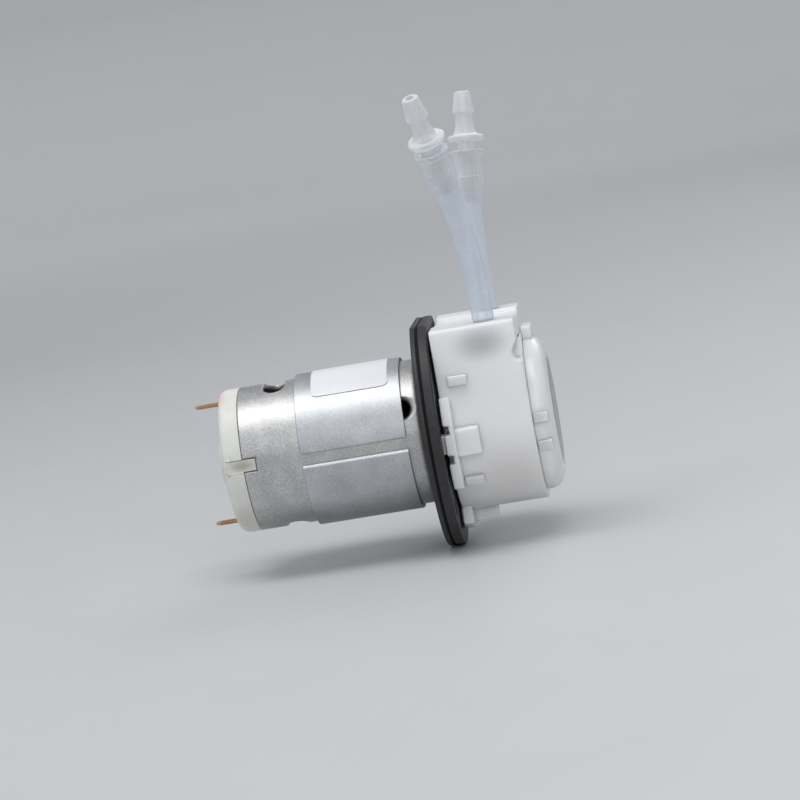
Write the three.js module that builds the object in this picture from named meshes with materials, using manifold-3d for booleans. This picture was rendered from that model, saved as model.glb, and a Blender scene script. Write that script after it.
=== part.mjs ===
// Peristaltic dosing pump: a small brushed DC motor with a pump head that snaps on, in millimetres.
// +X runs along the motor shaft towards the head's front cover, +Z towards the two hoses,
// and the origin is on the shaft's axis at the rear face of the mounting plate.

import * as THREE from 'three';
import { mergeVertices } from 'three/addons/utils/BufferGeometryUtils.js';
import Module from 'manifold-3d';

const wasm = await Module();
wasm.setup();

// ---------------------------------------------------------------- driving dimensions

const clearance = 0.15;          // general gap between two pieces that sit together
const shaftGap = 0.1;            // radial gap between the shaft and what is pressed on it
const roundSides = 36;           // sides of a large round piece
const middleSides = 20;          // sides of a bearing, sleeve or roller
const smallSides = 12;           // sides of a pin, screw or fitting

// Motor.
const canRadius = 13.85;
const canWall = 0.9;
const canInner = canRadius - canWall;
const canRear = -34.9;
const motorFace = -0.2;
const bossRadius = 5;
const bossFront = 1.6;
const bellRear = -38.95;
const hubRear = -40.5;
const hubRadius = 4.8;
const spigotFront = -33.6;
const bellCavity = 12.1;
const tabLow = -0.55;            // edges of the locking tab on each side of the end bell
const tabHigh = 1.75;
const ringRear = -23.8;
const ringFront = -3.55;
const ringRadius = 14.6;
const ringSlit = 2.3;
const labelRear = -20.5;
const labelFront = -5.8;
const labelFrom = 48;            // degrees above the near side, over the top
const labelTo = 196;
const terminalHeight = 11.4;     // centre of each terminal blade above or below the axis
const terminalRear = -44;
const terminalWidth = 2.8;
const terminalThick = 0.5;
const shaftRadius = 1.15;
const shaftFront = 17.4;
const shaftRear = -38.7;
const coreRadius = 9.9;
const coreRear = -24;
const coreFront = -6;
const poleCount = 3;
const commutatorRadius = 3.2;
const commutatorRear = -35.8;
const commutatorFront = -32.4;
const screwPitch = 16;

// Mounting plate.
const plateRadius = 22.6;
const plateTop = 20.8;           // height of the flat across the top of the disc
const plateThick = 3.3;
const plateHoleRadius = 1.6;
const plateHoles = [[-13.6, -13.6], [13.6, -13.6]];

// Pump head.
const headRear = 3.85;
const headFront = 20.3;
const headRadius = 16.35;
const headHalfWidth = 15.2;      // at the top, where the straight sides are closest
const headTop = 19.95;
const blockFront = 19.8;         // the round rim stands in front of the square hose block
const cavityRadius = 12.6;
const cavityRear = 5.9;
const coverRadius = 14.8;
const coverFront = 24.2;
const badgeRadius = 10.4;
const latchSize = 5.1;
const ribRadius = 19.8;
const ribHalfAngle = 26.5;
const blockCut = [               // (x, z) outline of what the square block leaves free of the round rim
  [blockFront, 21.5], [blockFront, 15.9], [18.9, 14.6], [18.5, 13.3], [19.2, 12.2], [22, 11.6], [22, 21.5],
];

// Roller drive: the sleeve on the shaft turns three rollers by friction, and they carry the cage.
const rollerCount = 3;
const sleeveRadius = 2.4;
const rollerRadius = 4.1;
const rollerOrbit = sleeveRadius + rollerRadius + shaftGap;
const rollerRear = 8.6;
const rollerFront = 17.5;
const firstRollerAngle = 90;
const pinRadius = 0.9;
const postOrbit = 6.9;
const postRadius = 1.2;
const cageRearDisc = [6.8, 8.2];
const cageFrontDisc = [17.9, 19];
const cageRadius = 11.4;

// Hose: one silicone tube, looped under the rollers, with a barbed fitting in each end.
const tubePlane = 14.1;          // x of the loop and of both exits
const tubeRadius = 2.05;
const tubeBore = 1;
const loopRadius = 10.4;
const pinchHalf = 0.86;          // half thickness of the tube where a roller closes it
const pinchedBore = 0.07;
const fittingGap = 0.12;
const nearRoute = [
  [14.1, -10.4, 20],
  [14.12, -10.4, 22.6],
  [14.12, -10.65, 25.1],
  [14.15, -11.15, 27.9],
  [13.94, -12.05, 31.5],
  [13.41, -13.6, 36.5],
  [12.62, -15.5, 41.5],
];
const nearFittingStart = [12.05, -16.75, 44.55];
const nearFittingDirection = [-0.162, -0.401, 0.902];
const farRoute = [
  [14.1, 10.4, 20],
  [14.05, 10.4, 21.4],
  [13.78, 10.42, 24.4],
  [13.76, 10.52, 27.8],
  [13.91, 10.9, 33.2],
  [14.12, 11.3, 38],
];
const farFittingStart = [14.34, 11.65, 41.3];
const farFittingDirection = [0.08, 0.094, 0.992];

// ---------------------------------------------------------------- materials

const plastic = (color, roughness) => new THREE.MeshStandardMaterial({ color, roughness, metalness: 0 });
const metal = (color, roughness) => new THREE.MeshStandardMaterial({ color, roughness, metalness: 0.9 });
const clear = (color, opacity) =>
  new THREE.MeshStandardMaterial({ color, roughness: 0.2, metalness: 0, transparent: true, opacity });

// ---------------------------------------------------------------- geometry helpers

const degrees = Math.PI / 180;
const towardsX = new THREE.Matrix4().makeBasis(
  new THREE.Vector3(0, 1, 0),
  new THREE.Vector3(0, 0, 1),
  new THREE.Vector3(1, 0, 0),
);

// Keeps only positions, with shared vertices merged, and turns the faces outward.
function clean(geometry) {
  geometry.deleteAttribute('normal');
  geometry.deleteAttribute('uv');
  const merged = mergeVertices(geometry, 1e-5);
  const position = merged.attributes.position;
  const index = merged.index.array;
  const [a, b, c] = [new THREE.Vector3(), new THREE.Vector3(), new THREE.Vector3()];
  const kept = [];
  let volume = 0;
  for (let i = 0; i < index.length; i += 3) {
    const [p, q, r] = [index[i], index[i + 1], index[i + 2]];
    if (p === q || q === r || r === p) continue;
    kept.push(p, q, r);
    a.fromBufferAttribute(position, p);
    b.fromBufferAttribute(position, q);
    c.fromBufferAttribute(position, r);
    volume += a.dot(b.cross(c));
  }
  merged.setIndex(volume < 0 ? kept.reverse() : kept);
  return merged;
}

function solid(geometry) {
  const closed = clean(geometry);
  return new wasm.Manifold(new wasm.Mesh({
    numProp: 3,
    vertProperties: new Float32Array(closed.attributes.position.array),
    triVerts: new Uint32Array(closed.index.array),
  }));
}

function geometryOf(body) {
  const mesh = body.getMesh();
  const geometry = new THREE.BufferGeometry();
  geometry.setAttribute('position', new THREE.BufferAttribute(new Float32Array(mesh.vertProperties), 3));
  geometry.setIndex([...mesh.triVerts]);
  return geometry;
}

const joinAll = (bodies) => bodies.reduce((whole, body) => whole.add(body));
const cutAll = (body, cutters) => cutters.reduce((whole, cutter) => whole.subtract(cutter), body);

// A body of revolution about X. Each profile point is [x, radius].
function turned(profile, sides = roundSides) {
  const points = profile.map(([x, radius]) => new THREE.Vector2(radius, x));
  return new THREE.LatheGeometry(points, sides).rotateZ(-Math.PI / 2);
}

// A ring or disc about X, from its closed profile.
function turnedRing(profile, sides = roundSides) {
  return turned([...profile, profile[0]], sides);
}

const tubeRing = (x0, x1, inner, outer, sides = roundSides) =>
  turnedRing([[x0, inner], [x0, outer], [x1, outer], [x1, inner]], sides);

const rod = (x0, x1, radius, sides = smallSides) => turned([[x0, 0], [x0, radius], [x1, radius], [x1, 0]], sides);

// An outline drawn in Y and Z, extruded from x0 to x1.
function slab(shape, x0, x1, curveSegments = 10) {
  const options = { depth: x1 - x0, bevelEnabled: false, curveSegments };
  return new THREE.ExtrudeGeometry(shape, options).applyMatrix4(towardsX).translate(x0, 0, 0);
}

function box([x0, x1], [y0, y1], [z0, z1]) {
  return new THREE.BoxGeometry(x1 - x0, y1 - y0, z1 - z0).translate((x0 + x1) / 2, (y0 + y1) / 2, (z0 + z1) / 2);
}

// Part of a ring about X. Angles are in degrees from the near side, -Y, up over the top.
function arcBlock(x0, x1, inner, outer, from, to, curveSegments = 12) {
  const [start, end] = [(180 - from) * degrees, (180 - to) * degrees];
  const shape = new THREE.Shape();
  shape.absarc(0, 0, outer, start, end, true);
  shape.absarc(0, 0, inner, end, start, false);
  shape.closePath();
  return slab(shape, x0, x1, curveSegments);
}

function rounded(halfWidth, halfHeight, corner) {
  const shape = new THREE.Shape();
  shape.moveTo(corner - halfWidth, -halfHeight);
  shape.lineTo(halfWidth - corner, -halfHeight);
  shape.absarc(halfWidth - corner, corner - halfHeight, corner, -Math.PI / 2, 0, false);
  shape.absarc(halfWidth - corner, halfHeight - corner, corner, 0, Math.PI / 2, false);
  shape.absarc(corner - halfWidth, halfHeight - corner, corner, Math.PI / 2, Math.PI, false);
  shape.absarc(corner - halfWidth, corner - halfHeight, corner, Math.PI, Math.PI * 1.5, false);
  return shape;
}

// A disc with a flat across its top.
function flatTopDisc(radius, top) {
  const shape = new THREE.Shape();
  const corner = Math.asin(top / radius);
  shape.absarc(0, 0, radius, Math.PI - corner, Math.PI * 2 + corner, false);
  shape.closePath();
  return shape;
}

// The head's outline: flat top, sides that lean in a little and a round bottom that runs into them.
function headOutline(corner) {
  const shape = new THREE.Shape();
  const reach = Math.hypot(headHalfWidth, headTop);
  const tangent = Math.atan2(headTop, headHalfWidth) - Math.acos(headRadius / reach);
  shape.absarc(0, 0, headRadius, Math.PI - tangent, Math.PI * 2 + tangent, false);
  shape.lineTo(headHalfWidth, headTop - corner);
  shape.lineTo(headHalfWidth - corner, headTop);
  shape.lineTo(corner - headHalfWidth, headTop);
  shape.lineTo(-headHalfWidth, headTop - corner);
  shape.closePath();
  return shape;
}

// A radial round hole at an angle in degrees from the near side, up over the top.
function radialHole(x, radius, angle, sides = 16) {
  const reach = canRadius;
  const cutter = new THREE.CylinderGeometry(radius, radius, reach, sides).translate(0, reach, 0);
  return cutter.rotateX((180 - angle) * degrees).translate(x, 0, 0);
}

const aroundX = (geometry, angle) => geometry.rotateX(angle * degrees);

const group = new THREE.Group();

function add(name, geometry, material, parent = group) {
  const mesh = new THREE.Mesh(clean(geometry), material);
  mesh.name = name;
  parent.add(mesh);
  return mesh;
}

// ---------------------------------------------------------------- motor

const nylon = plastic(0xe8e4d6, 0.5);
const zinc = metal(0xa9adb0, 0.38);
const brass = metal(0xb98a3c, 0.3);
const copper = metal(0xb8622e, 0.35);
const steel = metal(0xc4c6c8, 0.25);

function motorCan() {
  const shell = solid(turnedRing([
    [canRear, canRadius], [motorFace - 1.1, canRadius], [motorFace - 0.3, canRadius - 0.35],
    [motorFace, canRadius - 1.1], [motorFace, bossRadius], [bossFront, bossRadius],
    [bossFront, 1.7], [0.7, 1.7], [0.7, 3.2], [-1.2, 3.2], [-1.2, canInner - 0.7],
    [-1.9, canInner], [canRear, canInner],
  ]));
  const rearVentX = [-30.1, -25.9];
  const ventRadius = (rearVentX[1] - rearVentX[0]) / 2;
  const ventMiddle = (rearVentX[0] + rearVentX[1]) / 2;
  const ventTurn = 15;
  const cutters = [];
  for (const top of [90, 270]) {
    cutters.push(solid(arcBlock(...rearVentX, canInner - 2, canRadius + 2, top - ventTurn, top + ventTurn)));
    cutters.push(solid(radialHole(ventMiddle, ventRadius, top - ventTurn)));
    cutters.push(solid(radialHole(ventMiddle, ventRadius, top + ventTurn)));
  }
  for (const side of [27.5, 207.5]) cutters.push(solid(radialHole(-4.1, 1.93, side)));
  for (const side of [-1, 1]) {
    const screwHole = rod(-3, 1, 1.6).translate(0, side * screwPitch / 2, 0);
    cutters.push(solid(screwHole));
    const notchY = [side * (canInner - 1), side * (canRadius + 1)].sort((a, b) => a - b);
    cutters.push(solid(box([canRear - 1, canRear + 2.5], notchY, [tabLow - 0.2, tabHigh + 0.2])));
  }
  add('motor_can', geometryOf(cutAll(shell, cutters)), zinc);
}

function motorEndBell() {
  const seat = 3.1;
  const rearWall = -37;
  const tabDrop = 0.3;
  const cup = solid(turnedRing([
    [spigotFront, canInner - clearance], [canRear - clearance, canInner - clearance],
    [canRear - clearance, canRadius], [-37.5, canRadius], [-38.4, canRadius - 0.5],
    [bellRear, canRadius - 1.6], [bellRear, hubRadius + 0.4], [hubRear, hubRadius], [hubRear, 1.9],
    [-38.9, 1.9], [-38.9, seat], [-36.7, seat], [-36.7, 4.6], [rearWall, 4.6],
    [rearWall, bellCavity], [spigotFront, bellCavity],
  ]));
  const grooves = [];
  const tabs = [];
  for (const side of [-1, 1]) {
    const grooveY = [side * (canRadius - tabDrop), side * (canRadius + 1)].sort((a, b) => a - b);
    const tabY = [side * (canInner + 0.1), side * (canRadius - tabDrop)].sort((a, b) => a - b);
    grooves.push(solid(box([-38.2, canRear], grooveY, [tabLow, tabHigh])));
    tabs.push(solid(box([-36.4, canRear + 2.35], tabY, [tabLow, tabHigh])));
  }
  const slots = [-1, 1].map((side) => {
    const middle = side * terminalHeight;
    const halfSlot = terminalThick / 2 + clearance;
    const halfWide = terminalWidth / 2 + clearance;
    return solid(box([-40, rearWall + 1], [-halfWide, halfWide], [middle - halfSlot, middle + halfSlot]));
  });
  add('motor_end_bell', geometryOf(cutAll(joinAll([cutAll(cup, grooves), ...tabs]), slots)), nylon);
}

function fluxRing() {
  const ring = solid(tubeRing(ringRear, ringFront, canRadius + 0.05, ringRadius));
  const slit = solid(box([ringRear - 1, ringFront + 1], [-ringRadius - 2, -10], [-ringSlit / 2, ringSlit / 2]));
  add('flux_ring', geometryOf(ring.subtract(slit)), zinc);
}

function motorLabel() {
  const inner = ringRadius + 0.04;
  const paper = arcBlock(labelRear, labelFront, inner, inner + 0.12, labelFrom, labelTo, 18);
  add('motor_label', paper, plastic(0xeceef0, 0.45));
}

function terminalBlade(name, side) {
  const halfWide = terminalWidth / 2;
  const tip = 0.8;
  const front = -35.9;
  const outline = new THREE.Shape();
  outline.moveTo(front, -halfWide);
  outline.lineTo(front, halfWide);
  outline.lineTo(terminalRear + tip, halfWide);
  outline.lineTo(terminalRear, halfWide - tip);
  outline.lineTo(terminalRear, tip - halfWide);
  outline.lineTo(terminalRear + tip, -halfWide);
  outline.closePath();
  const eye = new THREE.Path();
  eye.absarc(terminalRear + 1.7, 0, 0.6, 0, Math.PI * 2, true);
  outline.holes.push(eye);
  const options = { depth: terminalThick, bevelEnabled: false, curveSegments: 8 };
  const blade = new THREE.ExtrudeGeometry(outline, options).translate(0, 0, -terminalThick / 2);
  add(name, blade.translate(0, 0, side * terminalHeight), brass);
}

// A spring leaf from the terminal to the brush, drawn in Y and Z for the upper brush.
function brushArm(name, side) {
  const thick = 0.25;
  const outerY = -6.4;
  const leaf = new THREE.Shape();
  leaf.moveTo(1.3, 10.55);
  leaf.lineTo(-5.2, 10.55);
  leaf.lineTo(outerY - thick, 9.2);
  leaf.lineTo(outerY - thick, 5.15);
  leaf.lineTo(1.5, 5.15);
  leaf.lineTo(1.5, 5.15 + thick);
  leaf.lineTo(outerY, 5.15 + thick);
  leaf.lineTo(outerY, 9.1);
  leaf.lineTo(-5.05, 10.55 - thick);
  leaf.lineTo(1.3, 10.55 - thick);
  leaf.closePath();
  const arm = slab(leaf, -35.7, -33.4);
  add(name, side > 0 ? arm : arm.rotateX(Math.PI), copper);
}

function carbonBrush(name, side) {
  const block = box([-35.5, -33.4], [-1.2, 1.2], [commutatorRadius + clearance, 5]);
  add(name, side > 0 ? block : block.rotateX(Math.PI), plastic(0x2b2b2d, 0.6));
}

function fieldMagnet(name, middle) {
  const half = 56;
  const magnet = arcBlock(-25.2, -3.6, 10.4, canInner - 0.12, middle - half, middle + half, 14);
  add(name, magnet, plastic(0x3a3a3c, 0.7));
}

function armatureCore() {
  const hub = 3.6;
  const stem = 1.6;
  const tipHalf = 49 * degrees;
  const tipInner = 8.3;
  const bodies = [solid(tubeRing(coreRear, coreFront, shaftRadius + shaftGap, hub, middleSides))];
  for (let pole = 0; pole < poleCount; pole += 1) {
    const arc = new THREE.Shape();
    arc.absarc(0, 0, coreRadius, Math.PI / 2 - tipHalf, Math.PI / 2 + tipHalf, false);
    arc.absarc(0, 0, tipInner, Math.PI / 2 + tipHalf, Math.PI / 2 - tipHalf, true);
    arc.closePath();
    const tip = slab(arc, coreRear, coreFront, 9);
    const neck = box([coreRear, coreFront], [-stem, stem], [hub - 0.6, tipInner + 0.4]);
    const turn = pole * 360 / poleCount;
    bodies.push(solid(aroundX(tip, turn)), solid(aroundX(neck, turn)));
  }
  add('armature_core', geometryOf(joinAll(bodies)), metal(0x8d9092, 0.5));
}

function armatureWinding(index) {
  const halfLong = (coreFront - coreRear) / 2;
  const outline = rounded(halfLong + 2.5, 4, 2);
  outline.holes.push(rounded(halfLong + 0.25, 1.85, 0.2));
  const options = { depth: 2.6, bevelEnabled: false, curveSegments: 2 };
  const coil = new THREE.ExtrudeGeometry(outline, options).translate((coreRear + coreFront) / 2, 0, 4.25);
  add(`armature_winding_${index + 1}`, aroundX(coil, index * 360 / poleCount), copper);
}

function commutator() {
  const ring = solid(tubeRing(commutatorRear, commutatorFront, shaftRadius + shaftGap, commutatorRadius, middleSides));
  const slits = [];
  for (let slot = 0; slot < poleCount; slot += 1) {
    const slit = box([commutatorRear - 1, commutatorFront + 1], [-0.2, 0.2], [2.3, 4]);
    slits.push(solid(aroundX(slit, 60 + slot * 360 / poleCount)));
  }
  add('commutator', geometryOf(cutAll(ring, slits)), copper);
}

function motorParts() {
  motorCan();
  motorEndBell();
  fluxRing();
  motorLabel();
  for (const [word, side] of [['upper', 1], ['lower', -1]]) {
    terminalBlade(`terminal_${word}`, side);
    brushArm(`brush_arm_${word}`, side);
    carbonBrush(`carbon_brush_${word}`, side);
    fieldMagnet(`field_magnet_${word}`, side * 90);
  }
  add('front_bearing', tubeRing(-1.1, 0.6, shaftRadius + 0.05, 3.1, middleSides), metal(0x9c7a4a, 0.5));
  add('rear_bearing', tubeRing(-38.75, -36.8, shaftRadius + 0.05, 3, middleSides), metal(0x9c7a4a, 0.5));
  add('motor_shaft', rod(shaftRear, shaftFront, shaftRadius, middleSides), steel);
  armatureCore();
  for (let index = 0; index < poleCount; index += 1) armatureWinding(index);
  commutator();
}

// ---------------------------------------------------------------- mounting plate

const latchRear = 2.7;
const latchPlaces = [-3.3, -90, 183.3];   // degrees from the near side: near, bottom and far

function mountingPlate() {
  const discSegments = 22;
  const inset = 0.4;
  const grooveX = [1.1, 1.35];
  const whole = solid(slab(flatTopDisc(plateRadius, plateTop), 0, plateThick, discSegments));
  const wide = solid(slab(flatTopDisc(plateRadius + 2, plateTop + 2), ...grooveX, discSegments));
  const core = solid(slab(flatTopDisc(plateRadius - inset, plateTop - inset), 0.5, 2, discSegments));
  const cutters = [wide.subtract(core), solid(rod(-1, 5, bossRadius + clearance, middleSides))];
  for (const side of [-1, 1]) {
    cutters.push(solid(rod(-1, 5, 1.6).translate(0, side * screwPitch / 2, 0)));
    cutters.push(solid(rod(1, 5, 2.8).translate(0, side * screwPitch / 2, 0)));
  }
  for (const [y, z] of plateHoles) cutters.push(solid(rod(-1, 5, plateHoleRadius).translate(0, y, z)));
  for (const place of latchPlaces) {
    const pocket = box([2.2, 5], [-19.2, -15.2], [-2.8, 2.8]);
    cutters.push(solid(aroundX(pocket, -place)));
  }
  add('mounting_plate', geometryOf(cutAll(whole, cutters)), plastic(0x1b1b1d, 0.6));
}

function motorScrew(name, side) {
  const head = solid(turned([[1.1, 0], [1.1, 2.4], [2.2, 2.4], [2.8, 1.5], [2.8, 0]], middleSides));
  const shank = solid(rod(-2.8, 1.3, 1.3));
  const slots = [box([2.2, 4], [-0.3, 0.3], [-1.5, 1.5]), box([2.2, 4], [-1.5, 1.5], [-0.3, 0.3])].map(solid);
  const screw = geometryOf(cutAll(head.add(shank), slots));
  add(name, screw.translate(0, side * screwPitch / 2, 0), steel);
}

// ---------------------------------------------------------------- pump head

const whitePlastic = plastic(0xe6e7e9, 0.4);

// One rear rib with the snap latch in its middle, built on the near side.
function latchAndRib() {
  const rib = solid(arcBlock(headRear, 5.75, headRadius - 1, ribRadius, -ribHalfAngle, ribHalfAngle));
  const notches = [-1, 1].map((side) => {
    const notchZ = [side * 1.95, side * 3.65].sort((a, b) => a - b);
    return solid(box([headRear - 1, headRear + 1], [-ribRadius - 1, -headRadius - 0.1], notchZ));
  });
  const half = latchSize / 2;
  const front = solid(box([5.4, 10.2], [-18.65, 1 - headRadius], [-half, half]));
  const rear = solid(box([latchRear, 5.6], [-18.65, 0.3 - headRadius], [-1.75, 1.75]));
  return joinAll([cutAll(rib, notches), front, rear]);
}

// What is cut off the front of the square hose block, down to the round rim.
function blockFrontCutter() {
  const outline = new THREE.Shape(blockCut.map(([x, z]) => new THREE.Vector2(x, z)));
  const slice = new THREE.ExtrudeGeometry(outline, { depth: 40, bevelEnabled: false }).rotateX(Math.PI / 2);
  return solid(slice.translate(0, 20, 0)).subtract(solid(rod(15, 23, headRadius, roundSides)));
}

function pumpHousing() {
  const corner = 0.5;
  const block = solid(slab(headOutline(corner), headRear, headFront, 20));
  const latches = latchPlaces.map((place) => solid(aroundX(geometryOf(latchAndRib()), -place)));
  const nubs = [];
  const nubX = [5.9, 9.5];
  for (const side of [-1, 1]) {
    const upper = box(nubX, [-16.6, -14.6], [9.35, 11.25]);
    const lower = aroundX(box(nubX, [-headRadius - 0.9, 1 - headRadius], [-0.95, 0.95]), 32.5);
    for (const nub of [upper, lower]) {
      nubs.push(solid(side < 0 ? nub : nub.rotateZ(Math.PI).translate(nubX[0] + nubX[1], 0, 0)));
    }
  }
  const seatRing = solid(tubeRing(plateThick + clearance, headRear + 0.5, 12.4, 13.8));
  const cutters = [
    solid(rod(cavityRear, headFront + 1, cavityRadius, roundSides)),
    solid(rod(headRear - 1, cavityRear + 1, 3.4, middleSides)),
    solid(box([headRear - 1, headFront + 1], [-7.2, 7.2], [headTop - 0.6, headTop + 1])),
    blockFrontCutter(),
  ];
  for (const side of [-1, 1]) {
    const channelY = [side * (loopRadius - 2.2), side * (cavityRadius + 0.05)].sort((a, b) => a - b);
    cutters.push(solid(box([tubePlane - 3, tubePlane + 3], channelY, [0, headTop - 2.2])));
    const exit = new THREE.CylinderGeometry(2.3, 2.3, 6, 16).rotateX(Math.PI / 2);
    cutters.push(solid(exit.translate(tubePlane, side * loopRadius, headTop)));
    const slope = new THREE.Shape();
    slope.moveTo(headRear - 1, headTop - 1.13);
    slope.lineTo(headRear + 0.8, headTop);
    slope.lineTo(headRear + 0.8, headTop + 1);
    slope.lineTo(headRear - 1, headTop + 1);
    slope.closePath();
    const wedge = new THREE.ExtrudeGeometry(slope, { depth: 10, bevelEnabled: false }).rotateX(Math.PI / 2);
    cutters.push(solid(wedge.translate(0, side > 0 ? 17.2 : -7.2, 0)));
  }
  add('pump_housing', geometryOf(cutAll(joinAll([block, seatRing, ...latches, ...nubs]), cutters)), whitePlastic);
}

function frontCover() {
  const rear = headFront + clearance;
  const skirt = cavityRadius - 0.2;
  const innerFace = coverFront - 1.8;
  const badgeFloor = coverFront - 0.4;
  const dish = solid(turned([
    [17.75, 0], [17.75, 1.1], [innerFace, 1.1], [innerFace, 11.2], [19.1, 11.2], [19.1, skirt], [rear, skirt],
    [rear, coverRadius], [21.5, coverRadius], [22.5, coverRadius - 0.45], [23.3, coverRadius - 1.3],
    [23.9, coverRadius - 2.5], [coverFront, badgeRadius + 0.5],
    [coverFront, badgeRadius + 0.1], [badgeFloor, badgeRadius + 0.1], [badgeFloor, 0],
  ]));
  const tab = solid(box([rear, 22.2], [-3.2, 3.2], [13, 16.9]));
  const window = solid(box([rear - 1, 21.6], [-1.6, 1.6], [15, 16]));
  const pads = [];
  for (const angle of [3.2, -17.7, 176.8, 197.7]) {
    const pad = box([20.5, 23.2], [-coverRadius - 0.4, 1 - coverRadius], [-0.95, 0.95]);
    pads.push(solid(aroundX(pad, -angle)));
  }
  add('front_cover', geometryOf(joinAll([dish, tab, ...pads]).subtract(window)), whitePlastic);
}

function coverBadge() {
  add('cover_badge', rod(coverFront - 0.35, coverFront - 0.05, badgeRadius - 0.1, roundSides), plastic(0x8a8d92, 0.4));
}

// ---------------------------------------------------------------- roller drive

const rollerAngles = Array.from({ length: rollerCount }, (_, index) => firstRollerAngle + index * 360 / rollerCount);

// A point on a circle about X, at an angle in degrees from +Y towards +Z.
function onCircle(radius, angle) {
  return [0, radius * Math.cos(angle * degrees), radius * Math.sin(angle * degrees)];
}

function driveSleeve() {
  add('drive_sleeve', tubeRing(9, 17.2, shaftRadius + shaftGap, sleeveRadius, middleSides), steel);
}

function rollerCage() {
  const pinHole = pinRadius + shaftGap;
  const nylonWhite = plastic(0xdedfe0, 0.45);
  const rearDisc = solid(tubeRing(...cageRearDisc, 3.2, cageRadius));
  const frontDisc = solid(tubeRing(...cageFrontDisc, 1.25, cageRadius - 0.8));
  const rearHoles = [];
  const frontHoles = [];
  const posts = [];
  for (const angle of rollerAngles) {
    rearHoles.push(solid(rod(5, 20, pinHole).translate(...onCircle(rollerOrbit, angle))));
    frontHoles.push(solid(rod(5, 20, pinHole).translate(...onCircle(rollerOrbit, angle))));
    const between = angle + 180 / rollerCount;
    const post = turned([[8, 0], [8, postRadius], [17.75, postRadius], [17.75, 0.8], [18.9, 0.8], [18.9, 0]], 10);
    posts.push(solid(post.translate(...onCircle(postOrbit, between))));
    frontHoles.push(solid(rod(5, 20, 0.95).translate(...onCircle(postOrbit, between))));
  }
  add('roller_cage_rear', geometryOf(cutAll(joinAll([rearDisc, ...posts]), rearHoles)), nylonWhite);
  add('roller_cage_front', geometryOf(cutAll(frontDisc, frontHoles)), nylonWhite);
}

function rollersAndPins() {
  rollerAngles.forEach((angle, index) => {
    const place = new THREE.Group();
    place.position.set(...onCircle(rollerOrbit, angle));
    group.add(place);
    const roller = tubeRing(rollerRear, rollerFront, pinRadius + shaftGap, rollerRadius, middleSides);
    add(`roller_${index + 1}`, roller, plastic(0x2f3134, 0.5), place);
    add(`roller_pin_${index + 1}`, rod(6.9, 18.85, pinRadius), steel, place);
  });
}

// ---------------------------------------------------------------- hose

const silicone = clear(0xdfe6ea, 0.6);
const clearPlastic = clear(0xf2f4f5, 0.55);

// Distance of the tube's inner side from the axis, at an angle in degrees from +Y towards +Z.
function innerReach(angle) {
  let reach = loopRadius - tubeRadius;
  for (const rollerAngle of rollerAngles) {
    const away = (angle - rollerAngle) * degrees;
    const across = rollerOrbit * Math.sin(away);
    if (Math.cos(away) < 0 || Math.abs(across) >= rollerRadius) continue;
    const rollerEdge = rollerOrbit * Math.cos(away) + Math.sqrt(rollerRadius ** 2 - across ** 2);
    reach = Math.max(reach, rollerEdge + 0.12);
  }
  return reach;
}

// The loop under the rollers: a straight tube section by section, bent round the axis and
// flattened against the housing wall where a roller presses it.
function pumpTubeLoop() {
  const legTop = headTop - 0.3;
  const arcLength = Math.PI * loopRadius;
  const total = 2 * legTop + arcLength;
  const steps = 38;
  const section = new THREE.Shape();
  section.absarc(0, 0, tubeRadius, 0, Math.PI * 2, false);
  const lumen = new THREE.Path();
  lumen.absarc(0, 0, tubeBore, 0, Math.PI * 2, true);
  section.holes.push(lumen);
  const straight = new THREE.ExtrudeGeometry(section, { depth: total, steps, bevelEnabled: false, curveSegments: 5 });
  const position = straight.attributes.position;
  const outer = loopRadius + tubeRadius;
  for (let i = 0; i < position.count; i += 1) {
    const across = position.getX(i);
    const sideways = position.getY(i);
    const along = position.getZ(i);
    const onNearLeg = along < legTop;
    const onFarLeg = along > legTop + arcLength;
    const turn = Math.min(Math.max((along - legTop) / arcLength, 0), 1) * 180;
    const height = onNearLeg ? legTop - along : Math.max(along - legTop - arcLength, 0);
    // On a leg, the roller reaches the tube at the angle of this height.
    const lookAngle = onNearLeg ? 180 - Math.atan2(height, loopRadius) / degrees : 180 + turn;
    const farLook = Math.atan2(height, loopRadius) / degrees;
    const angle = onFarLeg ? farLook : lookAngle;
    const slant = onNearLeg || onFarLeg ? Math.cos(farLook * degrees) : 1;
    const reach = Math.max(innerReach(angle > 180 ? angle - 360 : angle) * slant, loopRadius - tubeRadius);
    const half = Math.max((outer - reach) / 2, pinchHalf);
    const flat = (tubeRadius - half) / (tubeRadius - pinchHalf);
    const isBore = Math.hypot(across, sideways) < (tubeRadius + tubeBore) / 2;
    const ring = isBore ? tubeBore : tubeRadius;
    const thickNow = isBore ? THREE.MathUtils.lerp(tubeBore, pinchedBore, flat) : half;
    const wideNow = isBore ? THREE.MathUtils.lerp(tubeBore, 1.5, flat) : THREE.MathUtils.lerp(tubeRadius, 2.7, flat);
    const radial = outer - half + across / ring * thickNow;
    const x = tubePlane + sideways / ring * wideNow;
    const bearing = (180 + turn) * degrees;
    if (onNearLeg) position.setXYZ(i, x, -radial, height);
    else if (onFarLeg) position.setXYZ(i, x, radial, height);
    else position.setXYZ(i, x, radial * Math.cos(bearing), radial * Math.sin(bearing));
  }
  add('pump_tube_loop', straight, silicone);
}

// Outer profile of a fitting, as [distance from its inner end, radius].
const innerBarb = [[0, 1.25], [4.5, 2.15], [4.6, 1.7], [11.2, 1.75]];
const outerBarb = [
  [11.25, 3.2], [11.5, 3.55], [12.3, 3.55], [12.6, 3.2], [12.7, 2.2], [14.2, 1.75], [16.7, 1.7],
  [16.75, 2.18], [20.8, 1.55], [21, 1.4],
];
const fittingBore = 0.8;
const socketEnd = 9.6;

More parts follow.
